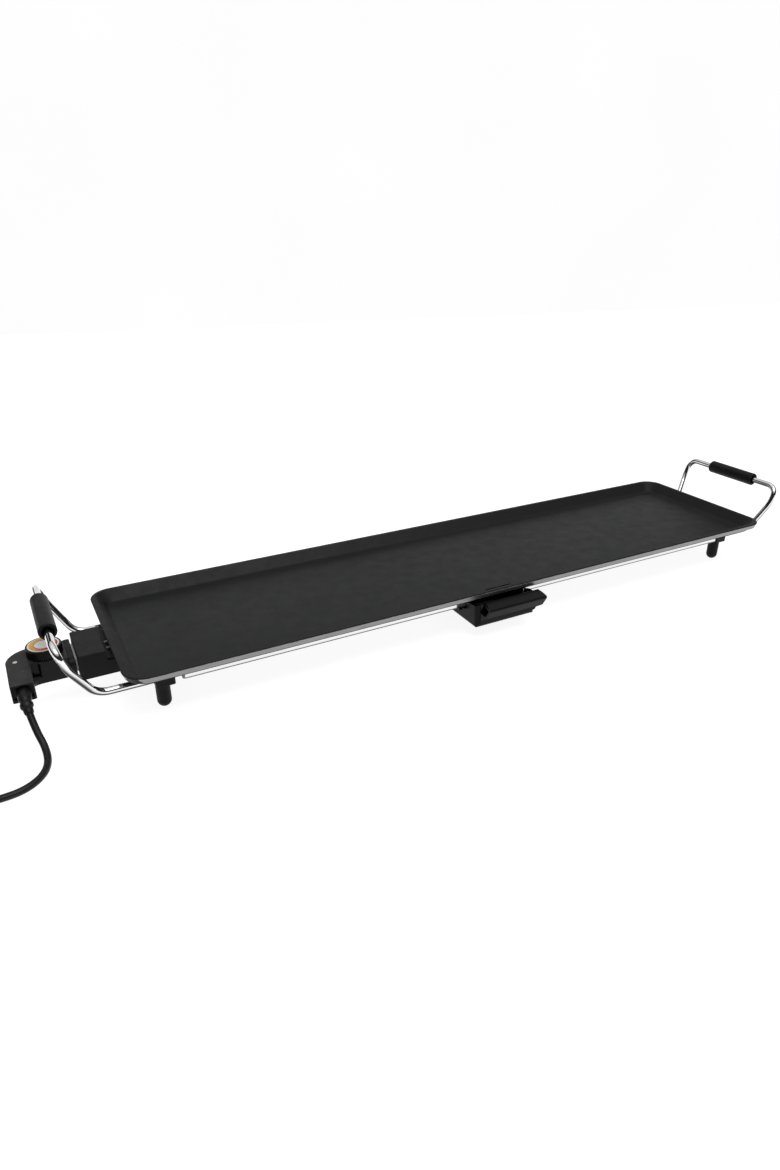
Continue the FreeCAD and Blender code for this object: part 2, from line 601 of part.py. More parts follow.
def housing_corner():
    """Web that rounds the inside corner between the body and the leg, low down."""
    x1 = LEG_INNER_X + CORNER_R
    front = -20.0
    leg = front - CORNER_R
    reach = CORNER_R * math.sqrt(0.5)
    arc = Part.Arc(V(x1, front, 0), V(x1 - reach, leg + reach, 0), V(LEG_INNER_X, leg, 0)).toShape()
    rest = [V(LEG_INNER_X, leg, 0), V(LEG_INNER_X - 1.0, leg, 0), V(LEG_INNER_X - 1.0, -14.0, 0),
            V(x1, -14.0, 0), V(x1, front, 0)]
    edges = [arc] + [Part.LineSegment(p, q).toShape() for p, q in zip(rest, rest[1:])]
    web = Part.Face(Part.Wire(edges))
    web.translate(V(0, 0, HOUSING_BOTTOM_Z))
    web = web.extrude(V(0, 0, CORNER_TOP_Z - HOUSING_BOTTOM_Z))
    below = [(-20.0, 33.0), (-20.0, HOUSING_BOTTOM_Z), (leg, LEG_BOTTOM_Z), (leg - 1.0, 33.0)]
    return web.cut(prism_yz(below, LEG_INNER_X - 2.0, x1 + 1.0))


def make_housing():
    whole = housing_solid(0.0, HOUSING_BOTTOM_Z, HOUSING_TOP_Z)
    leg_relief = prism_yz([(-16.0, 33.0), (-24.0, 38.0), (-60.0, 38.0), (-60.0, 33.0)], -549.0, -526.0)
    whole = whole.cut(leg_relief)
    whole = fillet_where(whole, 2.0, housing_front_corner)
    room = housing_solid(HOUSING_WALL, HOUSING_BOTTOM_Z + HOUSING_WALL, HOUSING_TOP_Z - HOUSING_WALL)
    room = room.cut(prism_yz([(-14.0, 33.0), (-22.0, 40.0), (-60.0, 40.0), (-60.0, 33.0)], -549.0, -526.0))
    mouth = block(HOUSING_FRONT_X - HOUSING_WALL, HOUSING_FRONT_X, -INSULATOR_Y, INSULATOR_Y,
                  INSULATOR_Z0, INSULATOR_Z1)
    leg_x0 = HOUSING_LEFT_X + HOUSING_WALL
    leg_x1 = LEG_INNER_X - HOUSING_WALL
    pocket = bar_along_y(leg_x0, leg_x1, LEG_BOTTOM_Z + 2.0, HOUSING_TOP_Z - 2.0, 2.5, LEG_END_Y, EXIT_Y)
    wall = block(leg_x0, leg_x1, EXIT_Y, EXIT_Y + HOUSING_WALL, LEG_BOTTOM_Z + 2.0, HOUSING_TOP_Z - 2.0)
    exit_hole = rod(-537.3, EXIT_Y, 47.0, 4.0, HOUSING_WALL, V(0, 1, 0))
    shell = whole.cut(room.cut(wall)).cut(mouth).cut(pocket).cut(exit_hole)
    spindle_hole = rod(KNOB_X, 0, HOUSING_TOP_Z - 3.0, SPINDLE_R + SPINDLE_FIT, 4.0)
    lamp_hole = rod(LAMP_X, LAMP_Y, HOUSING_TOP_Z - 3.0, 2.2, 4.0)
    above = block(-560.0, -480.0, -60.0, 30.0, HOUSING_SPLIT_Z, 70.0)
    upper = shell.common(above).cut(spindle_hole).cut(lamp_hole)
    lower = shell.cut(above)
    screws = []
    lower = lower.fuse(housing_corner())
    ceiling_z = HOUSING_TOP_Z - HOUSING_WALL
    for x, y, foot_z in HOUSING_POSTS:
        upper = upper.fuse(rod(x, y, HOUSING_SPLIT_Z, POST_R, ceiling_z - HOUSING_SPLIT_Z))
        upper = upper.cut(rod(x, y, HOUSING_SPLIT_Z, POST_BORE, 6.0))
        lower = lower.fuse(rod(x, y, foot_z, POST_R, HOUSING_SPLIT_Z - foot_z))
        lower = lower.cut(rod(x, y, foot_z, POST_BORE, HOUSING_SPLIT_Z - foot_z))
        lower = lower.cut(rod(x, y, foot_z, 2.2, 2.0))
        screws.append(screw(x, y, foot_z + 2.0, HOUSING_SPLIT_Z + 5.0, POST_BORE, 2.1, 1.6))
    save("probe_housing_upper", upper.removeSplitter())
    save("probe_housing_lower", lower.removeSplitter())
    save("housing_screws", *screws)


def make_probe_nose():
    flange = Part.Face(rounded_rect(-27.0, 27.0, 33.0, HOUSING_TOP_Z, 8.0, 0.0)).extrude(V(0, 0, FLANGE_T))
    flange.rotate(V(0, 0, 0), V(1, 0, 0), 90)
    flange.rotate(V(0, 0, 0), V(0, 0, 1), 90)
    flange.translate(V(NOSE_X - flange.BoundBox.XMax, 0, 0))
    opening = block(HOUSING_FRONT_X, NOSE_X, -INSULATOR_Y, INSULATOR_Y, INSULATOR_Z0, INSULATOR_Z1)
    save("nose_flange", flange.cut(opening))
    insulator = block(INSULATOR_X0, INSULATOR_X1, -INSULATOR_Y, INSULATOR_Y, INSULATOR_Z0, INSULATOR_Z1)
    sleeves = []
    for side in (-1, 1):
        y = side * TERMINAL_Y
        length = 38.0
        insulator = insulator.cut(rod(INSULATOR_X0, y, ELEMENT_Z, SLEEVE_R, 60.0, V(1, 0, 0)))
        sleeves.append(rod(-497.0, y, ELEMENT_Z, SLEEVE_R, length, V(1, 0, 0)).cut(
            rod(-492.0, y, ELEMENT_Z, SLEEVE_BORE, length, V(1, 0, 0))))
    insulator = insulator.cut(rod(INSULATOR_X0, 0, ELEMENT_Z, ROD_R, 60.0, V(1, 0, 0)))
    save("nose_insulator", insulator)
    save("contact_sleeves", *sleeves)
    sensor = rod(-503.0, 0, ELEMENT_Z, ROD_R, ROD_TIP_X + 503.0 - ROD_R, V(1, 0, 0))
    sensor = sensor.fuse(Part.makeSphere(ROD_R, V(ROD_TIP_X - ROD_R, 0, ELEMENT_Z)))
    save("sensor_rod", sensor.removeSplitter())
    earth = block(INSULATOR_X0, -460.0, -4.0, 4.0, 37.1, INSULATOR_Z0)
    gap = block(HOUSING_FRONT_X - HOUSING_WALL, NOSE_X, -5.0, 5.0, 37.0, INSULATOR_Z0)
    save("earth_contact", earth.cut(gap))


def make_thermostat():
    base = block(-533.0, -498.0, -7.0, 7.0, 37.2, 38.4)
    for x0 in (-533.0, -499.2):
        base = base.fuse(block(x0, x0 + 1.2, -7.0, 7.0, 38.4, 50.0))
    base = base.cut(rod(-500.0, 0, ELEMENT_Z, ROD_R, 3.0, V(1, 0, 0)))
    save("thermostat_frame", base.removeSplitter())
    stack = [block(-531.0, -525.0, -4.0, 4.0, z0, z1) for z0, z1 in ((38.4, 42.0), (42.5, 46.6))]
    save("contact_stack", *stack)
    save("contact_leaf", block(-531.0, -506.0, -3.0, 3.0, 42.0, 42.5).fuse(rod(-508.0, 0, 42.5, 1.6, 1.0)))
    save("bimetal_blade", block(-531.0, -504.0, -3.0, 3.0, 46.6, 47.4))


def make_pilot_lamp():
    save("pilot_lamp_lens", rod(LAMP_X, LAMP_Y, HOUSING_TOP_Z - HOUSING_WALL, 2.2, HOUSING_WALL + 0.3))
    bulb = rod(LAMP_X, LAMP_Y, 45.0, 1.9, 7.0).fuse(Part.makeSphere(1.9, V(LAMP_X, LAMP_Y, 52.0)))
    save("pilot_lamp", bulb.removeSplitter())


def make_cord_clamp():
    y0 = EXIT_Y + HOUSING_WALL + 1.0
    y1 = y0 + 5.0
    bar = block(-544.0, -530.6, y0, y1, 43.0, 44.6)
    for x0 in (-544.0, -532.6):
        bar = bar.fuse(block(x0, x0 + 2.0, y0, y1, 40.0, 43.0))
    save("cord_clamp", bar.removeSplitter())


def make_knob():
    knob = rod(KNOB_X, 0, KNOB_Z0, KNOB_R, KNOB_Z1 - KNOB_Z0)
    knob = knob.makeFillet(1.0, [edge for edge in knob.Edges if edge.BoundBox.ZMin > KNOB_Z1 - 0.01])
    knob = knob.cut(rod(KNOB_X, 0, KNOB_Z0, KNOB_R - 2.0, 1.5))
    knob = knob.cut(rod(KNOB_X, 0, KNOB_Z1 - DIAL_DEPTH, DIAL_R, DIAL_DEPTH))
    knob = knob.cut(rod(KNOB_X, 0, KNOB_Z0, SPINDLE_R, 7.0))
    save("temperature_knob", knob)
    save("dial_disc", rod(KNOB_X, 0, KNOB_Z1 - DIAL_DEPTH, DIAL_R, DIAL_DEPTH))
    save("knob_spindle", rod(KNOB_X, 0, 48.0, SPINDLE_R, KNOB_Z0 + 7.0 - 48.0))


# --- cord and plug ----------------------------------------------------------------------------------------------
CORD_LIFT = 3.6
CORD_START = V(-536.2, -73.5, 35.5)
CORD_ROUTE = [CORD_START, V(-534.0, -84.5, 22.5), V(-529.3, -97.0, 9.8), V(-529.3, -114.5, CORD_LIFT),
              V(-536.8, -133.0, CORD_LIFT), V(-552.6, -145.4, CORD_LIFT), V(-572.4, -148.1, CORD_LIFT),
              V(-592.0, -146.0, CORD_LIFT), V(-611.0, -146.6, CORD_LIFT + 0.8)]
BOOT_ROUTE = [(V(-537.3, EXIT_Y, 47.0), 6.5), (V(-537.2, -59.0, 45.9), 6.4), (V(-536.9, -67.0, 41.6), 5.6),
              (CORD_START, 4.6)]
TIE_T = 0.8
TIE_SLACK = 0.2
PLUG_Y = (-66.0, -41.0, -20.0, -6.0)


def cord_radii(route):
    radii = []
    for before, corner, after in zip(route, route[1:], route[2:]):
        into = corner - before
        out = after - corner
        half_turn = into.getAngle(out) / 2
        radii.append(0.45 * min(into.Length, out.Length) / math.tan(half_turn))
    return radii


def make_strain_relief():
    rings = []
    headings = [V(0, -1, 0), V(0.02, -0.93, -0.38), V(0.06, -0.80, -0.60), CORD_ROUTE[1] - CORD_ROUTE[0]]
    for (place, radius), heading in zip(BOOT_ROUTE, headings):
        rings.append(Part.Wire(Part.makeCircle(radius, place, heading)))
    save("strain_relief", Part.makeLoft(rings, True, True))


def make_cord_tube():
    radii = cord_radii(CORD_ROUTE)
    path = rounded_path(CORD_ROUTE, radii)
    tube = tube_along(path, CORD_R, CORD_ROUTE[0], CORD_ROUTE[1] - CORD_ROUTE[0])
    print("cord radii", [round(radius, 1) for radius in radii])
    print("cord tube length", round(path.Length, 1), "volume ratio",
          round(tube.Volume / (math.pi * CORD_R ** 2 * path.Length), 4))
    save("cord_tube", tube)


def make_cord_coil():
    height = COIL_LAYERS * 2 * CORD_R
    outer = rod(COIL_X, COIL_Y, COIL_BASE_Z, COIL_OUTER_TURN + CORD_R, height)
    coil = outer.cut(rod(COIL_X, COIL_Y, COIL_BASE_Z, COIL_INNER_TURN - CORD_R, height))
    save("cord_coil", coil)
    x0 = COIL_X + COIL_INNER_TURN - CORD_R
    x1 = COIL_X + COIL_OUTER_TURN + CORD_R
    z1 = COIL_BASE_Z + height
    band = block(x0 - TIE_T - TIE_SLACK, x1 + TIE_T + TIE_SLACK, COIL_Y - 2.5, COIL_Y + 2.5,
                 COIL_BASE_Z - TIE_T, z1 + TIE_T)
    room = block(x0 - TIE_SLACK, x1 + TIE_SLACK, COIL_Y - 2.5, COIL_Y + 2.5, COIL_BASE_Z, z1)
    save("cord_tie", band.cut(room))


def make_plug():
    x = COIL_X - (COIL_INNER_TURN + COIL_OUTER_TURN) / 2
    z = PLUG_R + 0.1
    relief_y, body_y, wide_y, face_y = PLUG_Y
    tail_start = V(x, COIL_Y + 20.0, 18.5)
    tail_end = V(x, relief_y, z)
    run = tail_end - tail_start
    tail = rod(tail_start.x, tail_start.y, tail_start.z, CORD_R, run.Length, run)
    save("cord_tail", tail)
    relief = Part.makeCone(4.4, 6.5, body_y - relief_y, V(x, relief_y, z), V(0, 1, 0))
    save("plug_strain_relief", relief)
    shoulder = Part.makeCone(10.0, PLUG_R, wide_y - body_y, V(x, body_y, z), V(0, 1, 0))
    body = shoulder.fuse(rod(x, wide_y, z, PLUG_R, face_y - wide_y, V(0, 1, 0)))
    clips = []
    for side in (-1, 1):
        z0, z1 = sorted((z + side * (PLUG_R - 3.0), z + side * PLUG_R))
        body = body.cut(block(x - 3.5, x + 3.5, wide_y - 2.0, face_y, z0, z1))
        c0, c1 = sorted((z + side * (PLUG_R - 3.0), z + side * (PLUG_R - 1.8)))
        clips.append(block(x - 2.5, x + 2.5, wide_y - 1.5, face_y - 0.5, c0, c1))
    pins = []
    for side in (-1, 1):
        pin_x = x + side * PLUG_PIN_SPACING / 2
        root_y = face_y - PLUG_PIN_ROOT
        body = body.cut(rod(pin_x, root_y, z, PLUG_ROOT_R, PLUG_PIN_ROOT, V(0, 1, 0)))
        root = rod(pin_x, root_y, z, PLUG_ROOT_R, PLUG_PIN_ROOT, V(0, 1, 0))
        pin = root.fuse(rod(pin_x, face_y, z, PLUG_PIN_R, PLUG_PIN_LENGTH, V(0, 1, 0)))
        pins.append(pin.removeSplitter())
    save("plug_body", body.removeSplitter())
    save("plug_earth_clips", *clips)
    save("plug_pins", *pins)


make_griddle_plate()
make_heating_element()
make_element_clamps()
make_terminals()
make_sensor_guide_tube()
make_terminal_board()
make_socket_guard()
make_guard_bracket()
make_reflector_pan()
make_tray_rails()
make_drip_tray()
make_feet()
make_handles()
make_housing()
make_probe_nose()
make_thermostat()
make_pilot_lamp()
make_cord_clamp()
make_knob()
make_strain_relief()
make_cord_tube()
make_cord_coil()
make_plug()
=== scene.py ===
import json
import math

import bmesh
import bpy
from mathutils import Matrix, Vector

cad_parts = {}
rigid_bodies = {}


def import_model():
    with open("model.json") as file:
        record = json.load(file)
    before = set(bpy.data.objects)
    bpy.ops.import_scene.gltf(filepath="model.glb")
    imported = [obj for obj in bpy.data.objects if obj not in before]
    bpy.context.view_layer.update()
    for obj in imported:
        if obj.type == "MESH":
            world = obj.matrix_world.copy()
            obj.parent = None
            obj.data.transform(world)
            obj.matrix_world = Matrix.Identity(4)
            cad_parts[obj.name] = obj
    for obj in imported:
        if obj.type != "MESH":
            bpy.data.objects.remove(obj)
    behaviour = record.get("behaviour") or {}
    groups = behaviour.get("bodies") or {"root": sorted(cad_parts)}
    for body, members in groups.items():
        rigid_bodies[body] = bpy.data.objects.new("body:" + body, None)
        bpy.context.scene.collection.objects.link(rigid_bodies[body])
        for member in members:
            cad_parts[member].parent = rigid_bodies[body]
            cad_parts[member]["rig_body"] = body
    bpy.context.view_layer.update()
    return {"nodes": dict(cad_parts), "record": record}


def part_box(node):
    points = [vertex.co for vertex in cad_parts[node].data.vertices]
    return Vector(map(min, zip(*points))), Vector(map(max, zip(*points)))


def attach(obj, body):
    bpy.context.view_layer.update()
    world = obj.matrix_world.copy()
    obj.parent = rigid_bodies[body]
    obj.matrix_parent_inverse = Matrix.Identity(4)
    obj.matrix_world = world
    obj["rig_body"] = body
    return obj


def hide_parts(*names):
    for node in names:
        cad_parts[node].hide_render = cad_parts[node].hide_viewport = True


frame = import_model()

MM = 0.001
plate_low, plate_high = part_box("griddle_plate")
PLATE_CENTRE = Vector(((plate_low.x + plate_high.x) / 2, (plate_low.y + plate_high.y) / 2, 0.0))


def at_plate(x, y, z):
    """A point given in metres from the middle of the plate, on the floor."""
    return PLATE_CENTRE + Vector((x, y, z))


def middle(node):
    low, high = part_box(node)
    return (low + high) / 2


# --- camera ---------------------------------------------------------------------------------------
CAMERA_PLACE = (-0.52333, -0.78047, 0.47034)
CAMERA_PITCH = 25.744
CAMERA_YAW = -28.230
CAMERA_LENS = 23.87


def make_camera():
    data = bpy.data.cameras.new("camera")
    data.lens = CAMERA_LENS
    data.sensor_width = 36.0
    data.clip_start = 0.01
    camera = bpy.data.objects.new("camera", data)
    camera.location = at_plate(*CAMERA_PLACE)
    camera.rotation_euler = (math.radians(90.0 - CAMERA_PITCH), 0.0, math.radians(CAMERA_YAW))
    bpy.context.scene.collection.objects.link(camera)
    bpy.context.scene.camera = camera


# --- materials ------------------------------------------------------------------------------------
def fill_ramp(ramp, stops):
    """Give a colour ramp its stops, each a position with a grey or a colour."""
    while len(ramp.elements) < len(stops):
        ramp.elements.new(0.5)
    for element, (position, colour) in zip(ramp.elements, stops):
        element.position = position
        element.color = (*colour, 1.0) if isinstance(colour, tuple) else (colour, colour, colour, 1.0)


class Nodes:
    """Short hand for the node tree of one material."""

    def __init__(self, name):
        self.material = bpy.data.materials.new(name)
        self.material.use_nodes = True
        self.tree = self.material.node_tree
        self.shader = self.tree.nodes["Principled BSDF"]
        self.coords = self.tree.nodes.new("ShaderNodeTexCoord").outputs["Object"]

    def link(self, source, target):
        self.tree.links.new(source, target)

    def set(self, **values):
        for key, value in values.items():
            self.shader.inputs[key.replace("_", " ")].default_value = value

    def stretched(self, x, y, z):
        node = self.tree.nodes.new("ShaderNodeVectorMath")
        node.operation = "MULTIPLY"
        node.inputs[1].default_value = (x, y, z)
        self.link(self.coords, node.inputs[0])
        return node.outputs[0]

    def noise(self, scale, detail=4.0, roughness=0.5, vector=None):
        node = self.tree.nodes.new("ShaderNodeTexNoise")
        node.inputs["Scale"].default_value = scale
        node.inputs["Detail"].default_value = detail
        node.inputs["Roughness"].default_value = roughness
        self.link(vector or self.coords, node.inputs["Vector"])
        return node.outputs["Fac"]

    def ramp(self, value, *stops):
        node = self.tree.nodes.new("ShaderNodeValToRGB")
        fill_ramp(node.color_ramp, stops)
        self.link(value, node.inputs[0])
        return node.outputs[0]

    def span(self, value, low, high, out_low, out_high):
        node = self.tree.nodes.new("ShaderNodeMapRange")
        for key, number in zip(("From Min", "From Max", "To Min", "To Max"), (low, high, out_low, out_high)):
            node.inputs[key].default_value = number
        self.link(value, node.inputs["Value"])
        return node.outputs[0]

    def maths(self, operation, first, second=0.0):
        node = self.tree.nodes.new("ShaderNodeMath")
        node.operation = operation
        for socket, value in zip(node.inputs, (first, second)):
            if isinstance(value, (int, float)):
                socket.default_value = value
            else:
                self.link(value, socket)
        return node.outputs[0]

    def beyond(self, value, centre, reach):
        """1 where the value lies further than reach from the centre."""
        away = self.maths("ABSOLUTE", self.maths("SUBTRACT", value, centre))
        return self.maths("GREATER_THAN", away, reach)

    def within(self, value, low, high):
        """1 where the value lies between low and high."""
        above = self.maths("GREATER_THAN", value, low)
        return self.maths("MULTIPLY", above, self.maths("LESS_THAN", value, high))

    def mix(self, factor, first, second, blend="MIX"):
        node = self.tree.nodes.new("ShaderNodeMix")
        node.data_type = "RGBA"
        node.blend_type = blend
        if isinstance(factor, float):
            node.inputs["Factor"].default_value = factor
        else:
            self.link(factor, node.inputs["Factor"])
        for key, value in (("A", first), ("B", second)):
            socket = [s for s in node.inputs if s.name == key and s.type == "RGBA"][0]
            if isinstance(value, tuple):
                socket.default_value = (*value, 1.0)
            else:
                self.link(value, socket)
        return [s for s in node.outputs if s.type == "RGBA"][0]

    def split(self, vector):
        """The x, y and z of a vector."""
        node = self.tree.nodes.new("ShaderNodeSeparateXYZ")
        self.link(vector, node.inputs[0])
        return node.outputs

    def facing(self, low, high):
        """0 where the surface looks lower than low (the height of its normal), 1 above high."""
        normal = self.tree.nodes.new("ShaderNodeNewGeometry").outputs["Normal"]
        return self.span(self.split(normal)[2], low, high, 0.0, 1.0)

    def bump(self, height, strength, distance):
        node = self.tree.nodes.new("ShaderNodeBump")
        node.inputs["Strength"].default_value = strength
        node.inputs["Distance"].default_value = distance
        self.link(height, node.inputs["Height"])
        self.link(node.outputs[0], self.shader.inputs["Normal"])


# Height of a surface's normal where a change of look starts and where it is complete, for painted light on tops
# and painted shade on undersides and walls.
LIT_TOP_FACING = (0.55, 0.90)
SHADE_BELOW_FACING = (-0.70, 0.10)
SHADED_UNDERSIDE_FACING = (-0.28, 0.02)
SHADED_WALL_FACING = (0.30, 0.92)
STREAK_SHADE = 0.86


def moulded(name, dark, light, rough_low, rough_high, grain, grain_depth, specular=0.5, coat=0.0, lit_top=None,
            shade_below=False):
    """Moulding: fine grain, faint cloudy colour and handling marks in the gloss, perhaps with a paler top painted
    as light from overhead and with less reflection below, painted as shade.
    """
    m = Nodes(name)
    clouds = m.noise(35.0, 5.0, 0.6)
    colour = m.ramp(clouds, (0.35, dark), (0.7, light))
    # Painted light: upward faces get the paler colour, as if lit from overhead.
    if lit_top:
        pale = m.ramp(clouds, (0.35, lit_top[0]), (0.7, lit_top[1]))
        colour = m.mix(m.facing(*LIT_TOP_FACING), colour, pale)
    m.link(colour, m.shader.inputs["Base Color"])
    m.link(m.span(m.noise(90.0, 6.0, 0.7), 0.3, 0.75, rough_low, rough_high), m.shader.inputs["Roughness"])
    m.bump(m.noise(grain, 2.0, 0.5), grain_depth, 0.0002)
    m.set(Specular_IOR_Level=specular, Coat_Weight=coat, Coat_Roughness=0.06)
    # Painted shade: downward faces lose their reflection, so they look darker.
    if shade_below:
        shaded_shine = m.maths("MULTIPLY", m.facing(*SHADE_BELOW_FACING), specular)
        m.link(shaded_shine, m.shader.inputs["Specular IOR Level"])
    return m.material


def metal(name, colour, rough_low, rough_high, brush, depth, underside_shade=1.0):
    """Bare metal with rolling or drawing marks along one direction, and perhaps painted shade on its underside."""
    m = Nodes(name)
    streaks = m.noise(1.0, 4.0, 0.6, m.stretched(*brush))
    darker = tuple(c * STREAK_SHADE for c in colour)
    shade = m.ramp(streaks, (0.3, darker), (0.7, colour))
    # Painted shade: downward faces are darkened by the given factor.
    if underside_shade < 1.0:
        shade = m.mix(m.facing(*SHADED_UNDERSIDE_FACING), tuple(c * underside_shade for c in colour), shade)
    m.link(shade, m.shader.inputs["Base Color"])
    m.link(m.span(streaks, 0.25, 0.75, rough_low, rough_high), m.shader.inputs["Roughness"])
    m.bump(streaks, depth, 0.0001)
    m.set(Metallic=1.0)
    return m.material


# Painted shade: the sheet is darker below the first place, its folded lower edge, and left of the second, its end.
SHEET_FOLD_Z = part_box("reflector_pan")[0].z + 1.3 * MM
SHEET_END_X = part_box("reflector_pan")[0].x + 2.4 * MM
SHEET_PAINTED_SHADE = (0.16, 0.16, 0.17)


def sheet_material():
    """Bright rolled sheet; its folded lower edge and left end carry painted shade."""
    m = Nodes("bright_sheet")
    place = m.split(m.coords)
    streaks = m.noise(1.0, 4.0, 0.6, m.stretched(3.0, 3.0, 900.0))
    sheet = m.ramp(streaks, (0.3, 0.68), (0.7, 0.78))
    shaded_fold = m.maths("LESS_THAN", place[2], SHEET_FOLD_Z)
    painted_shade = m.maths("MAXIMUM", shaded_fold, m.maths("LESS_THAN", place[0], SHEET_END_X))
    # Painted shade: the darker colour on the fold and the end.
    m.link(m.mix(painted_shade, sheet, SHEET_PAINTED_SHADE), m.shader.inputs["Base Color"])
    m.link(m.span(streaks, 0.25, 0.75, 0.06, 0.14), m.shader.inputs["Roughness"])
    m.bump(streaks, 0.04, 0.0001)
    m.set(Metallic=1.0)
    return m.material


COATING_DARK = (0.0078, 0.0082, 0.0088)
COATING_PALE = (0.0124, 0.0128, 0.0134)
# Painted shade: the coating's darker colour on the plate's walls.
COATING_WALL_SHADE = (0.005225, 0.005445, 0.00572)
# The bare band round the rim: its heights above the floor, how far out it starts from the middle of the plate, and
# how much its upper edge wanders.
BARE_LOW_Z = 0.0576
BARE_HIGH_Z = 0.0647
BARE_HALF_X = 0.4468
BARE_HALF_Y = 0.1088
BARE_WANDER = 0.0012


def plate_material():
    """Matte non-stick coating with painted shade on its walls; the lower outer face of the rim is bare cast
    aluminium.
    """
    m = Nodes("non_stick_coating")
    x, y, z = m.split(m.coords)
    fine = m.noise(900.0, 3.0, 0.6)
    clouds = m.noise(9.0, 5.0, 0.6)
    coating = m.ramp(clouds, (0.3, COATING_DARK), (0.75, COATING_PALE))
    speckle = m.ramp(fine, (0.42, 0.75), (0.62, 1.25))
    # Painted shade on the steep walls.
    coating = m.mix(m.facing(*SHADED_WALL_FACING), COATING_WALL_SHADE, coating)
    coating = m.mix(1.0, coating, speckle, "MULTIPLY")
    wander = m.maths("MULTIPLY", m.noise(160.0, 5.0, 0.7), BARE_WANDER)
    below = m.maths("LESS_THAN", m.maths("ADD", z, wander), BARE_HIGH_Z)
    above = m.maths("GREATER_THAN", z, BARE_LOW_Z)
    off_x = m.beyond(x, PLATE_CENTRE.x, BARE_HALF_X)
    off_y = m.beyond(y, PLATE_CENTRE.y, BARE_HALF_Y)
    bare = m.maths("MULTIPLY", m.maths("MULTIPLY", below, above), m.maths("MAXIMUM", off_x, off_y))
    grey = m.ramp(m.noise(1.0, 4.0, 0.6, m.stretched(60.0, 60.0, 900.0)), (0.3, 0.19), (0.7, 0.27))
    m.link(m.mix(bare, coating, grey), m.shader.inputs["Base Color"])
    m.link(bare, m.shader.inputs["Metallic"])
    rough = m.span(m.noise(60.0, 6.0, 0.65), 0.3, 0.75, 0.42, 0.55)
    m.link(m.maths("MULTIPLY", rough, m.span(bare, 0.0, 1.0, 1.0, 0.75)), m.shader.inputs["Roughness"])
    m.bump(fine, 0.18, 0.0002)
    m.set(Specular_IOR_Level=0.16)
    return m.material


# Outer radii of the printed hub, line, coloured band and white ring.
DIAL_HUB = 0.0089
DIAL_LINE = 0.0095
DIAL_BAND = 0.0140
DIAL_WHITE = 0.0155
DIAL_PAPER = (0.94, 0.93, 0.90)
DIAL_INK = (0.02, 0.02, 0.02)
# Colours of the band, by share of a turn.
DIAL_ARC = (
    (0.0, (0.86, 0.42, 0.03)), (0.16, (0.90, 0.55, 0.06)), (0.34, (0.86, 0.36, 0.03)), (0.48, (0.72, 0.10, 0.03)),
    (0.62, (0.62, 0.03, 0.025)), (0.80, (0.62, 0.03, 0.025)), (0.84, (0.90, 0.55, 0.06)),
)


def dial_material(centre):
    """Dial face: white hub, dark line, yellow to red band, thin white ring and black edge."""
    m = Nodes("dial_print")
    shifted = m.tree.nodes.new("ShaderNodeVectorMath")
    shifted.operation = "SUBTRACT"
    shifted.inputs[1].default_value = (centre.x, centre.y, 0.0)
    m.link(m.coords, shifted.inputs[0])
    x, y, _ = m.split(shifted.outputs[0])
    radius = m.maths("SQRT", m.maths("ADD", m.maths("MULTIPLY", x, x), m.maths("MULTIPLY", y, y)))
    angle = m.maths("ARCTAN2", x, m.maths("MULTIPLY", y, -1.0))
    arc = m.ramp(m.span(angle, -math.pi, math.pi, 0.0, 1.0), *DIAL_ARC)
    face = m.mix(m.within(radius, DIAL_LINE, DIAL_BAND), DIAL_PAPER, arc)
    face = m.mix(m.within(radius, DIAL_HUB, DIAL_LINE), face, DIAL_INK)
    face = m.mix(m.maths("GREATER_THAN", radius, DIAL_WHITE), face, DIAL_INK)
    m.link(face, m.shader.inputs["Base Color"])
    m.link(m.span(m.noise(300.0, 4.0, 0.6), 0.3, 0.7, 0.22, 0.34), m.shader.inputs["Roughness"])
    m.bump(m.noise(700.0, 2.0, 0.5), 0.05, 0.0001)
    return m.material


